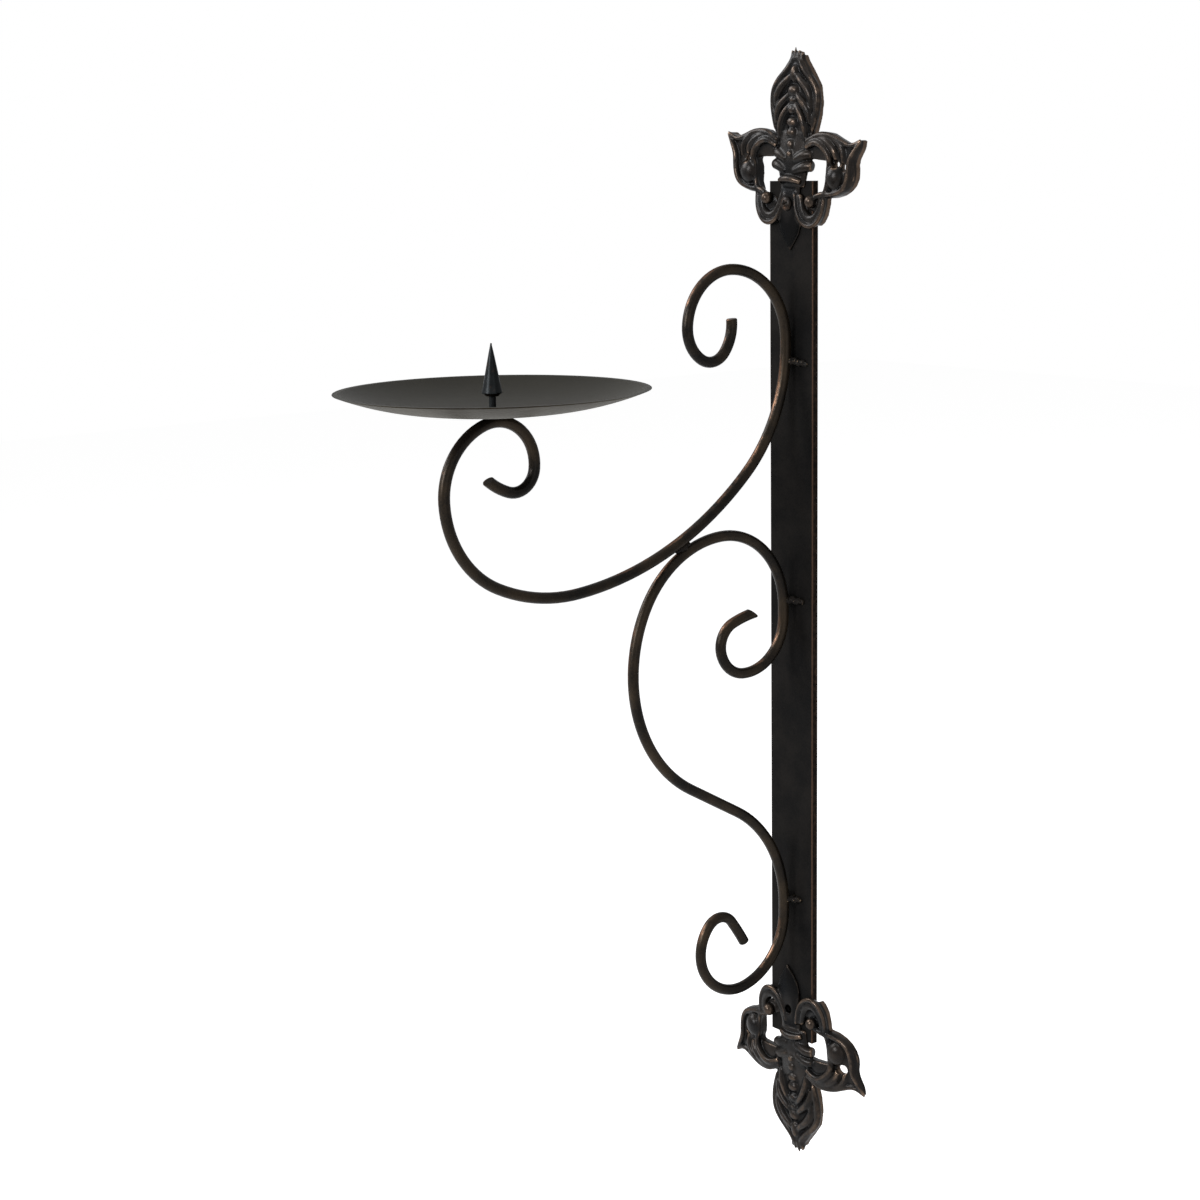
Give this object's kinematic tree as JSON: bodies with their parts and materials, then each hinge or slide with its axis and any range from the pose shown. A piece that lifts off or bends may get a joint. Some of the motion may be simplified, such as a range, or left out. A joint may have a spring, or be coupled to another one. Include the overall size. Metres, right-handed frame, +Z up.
{
  "type": "wall candle holder",
  "caption": "Wall candle holder of welded scrolled bar on a flat back rail with fleur-de-lis ends, carrying a shallow drip pan with a cone spike for a pillar candle.",
  "frame": {"origin": "on the wall plane, midway between the two wall screw holes", "axes": "X to the right along the wall, -Y out of the wall towards the room, Z up"},
  "size_m": [0.158, 0.2845, 0.6302],
  "materials": {
    "rail_bronze": "dark bronze lacquer over flat bar, rubbed to copper brown on the edges",
    "bar_bronze": "dark bronze lacquer over round bar, with soft rubbed highlights",
    "finial_bronze": "dark bronze lacquer over cast ornament, rubbed to copper brown on the high points",
    "pan_bronze": "matt brown-grey bronze lacquer over thin sheet, rubbed along the rim",
    "pricket_bronze": "dark bronze lacquer over rolled sheet, rubbed at the tip",
    "weld_metal": "rough weld beads under the same lacquer, brassy where rubbed"
  },
  "bodies": {
    "root": {"back_rail": "rail_bronze", "candle_arm": "bar_bronze", "brace_scroll": "bar_bronze", "upper_finial": "finial_bronze", "lower_finial": "finial_bronze", "drip_pan": "pan_bronze", "pricket_stud": "pricket_bronze", "pricket_cone": "pricket_bronze", "pricket_collar": "weld_metal", "arm_rail_weld": "weld_metal", "brace_rail_weld_middle": "weld_metal", "brace_rail_weld_lower": "weld_metal", "scroll_weld": "weld_metal", "pan_weld": "weld_metal", "upper_finial_weld": "weld_metal", "lower_finial_weld": "weld_metal"}
  },
  "joints": []
}
